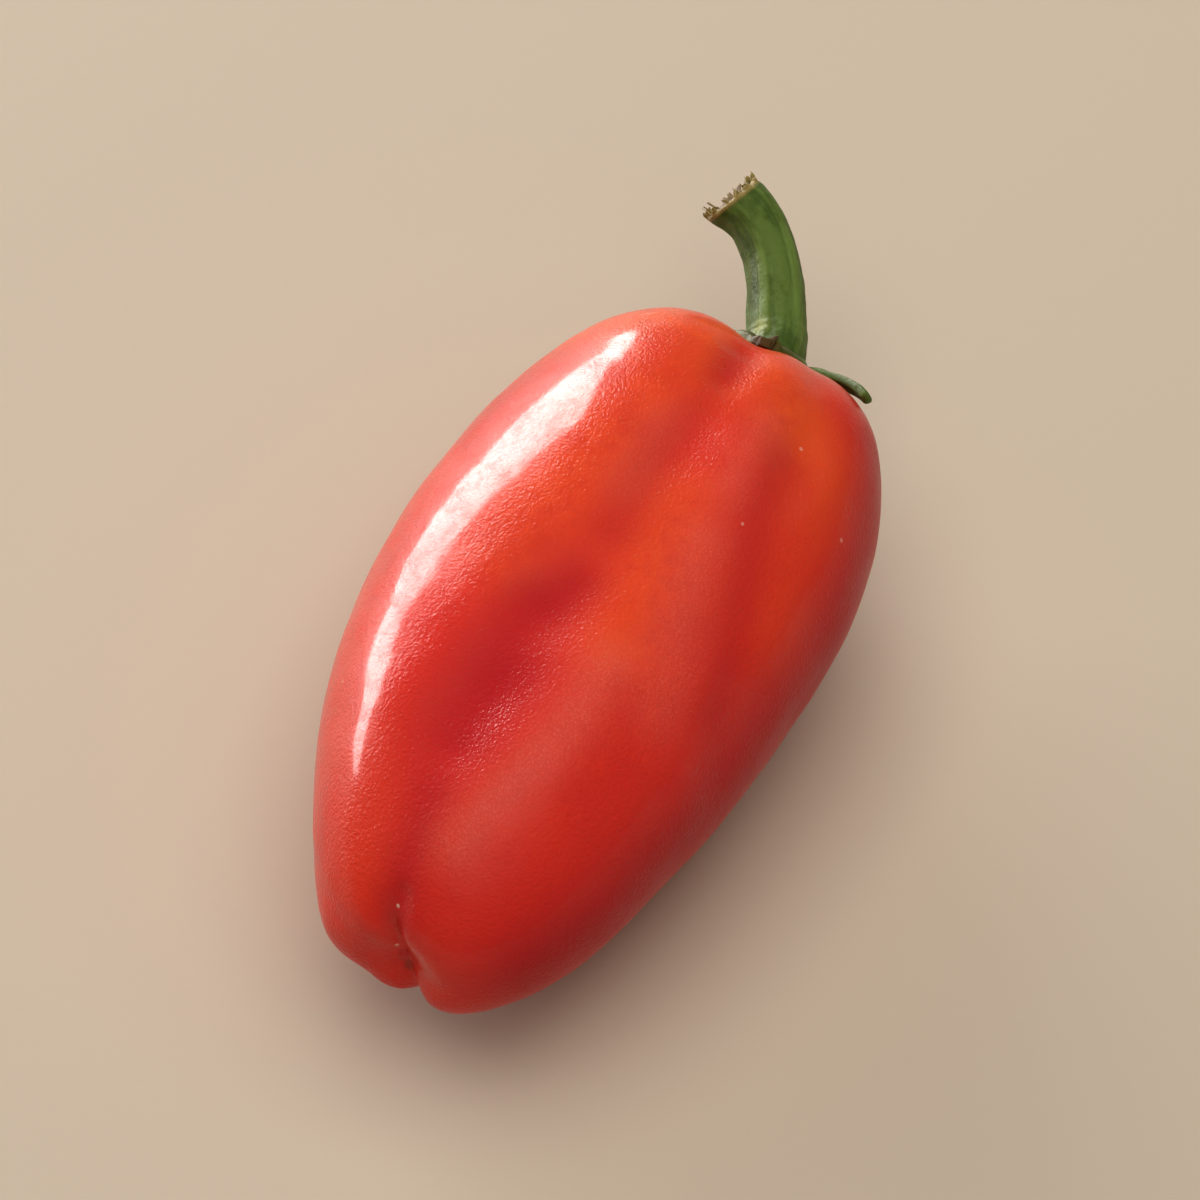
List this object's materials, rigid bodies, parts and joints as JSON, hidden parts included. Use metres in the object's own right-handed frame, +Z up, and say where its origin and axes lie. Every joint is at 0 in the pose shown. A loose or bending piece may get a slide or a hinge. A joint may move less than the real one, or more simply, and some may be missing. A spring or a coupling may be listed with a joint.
{
  "type": "lunchbox sweet pepper",
  "caption": "Small red sweet pepper lying on its side: a glossy, softly lobed pod with a cleft blossom end, a green toothed calyx and a curved, torn stem.",
  "frame": {"origin": "middle of the small flat spot under the pod, on the surface that it rests on", "axes": "+X along the pod's long axis, from the blossom tip to the stem end; +Y towards the side that the stem bends to; +Z up"},
  "size_m": [0.085, 0.0391, 0.0336],
  "materials": {
    "pod_skin": "glossy waxy red pepper skin, orange-red at the shoulders",
    "stem_skin": "satin ribbed green stem and calyx, olive at the torn end"
  },
  "bodies": {
    "root": {"pod": "pod_skin", "stem_and_calyx": "stem_skin"}
  },
  "joints": []
}
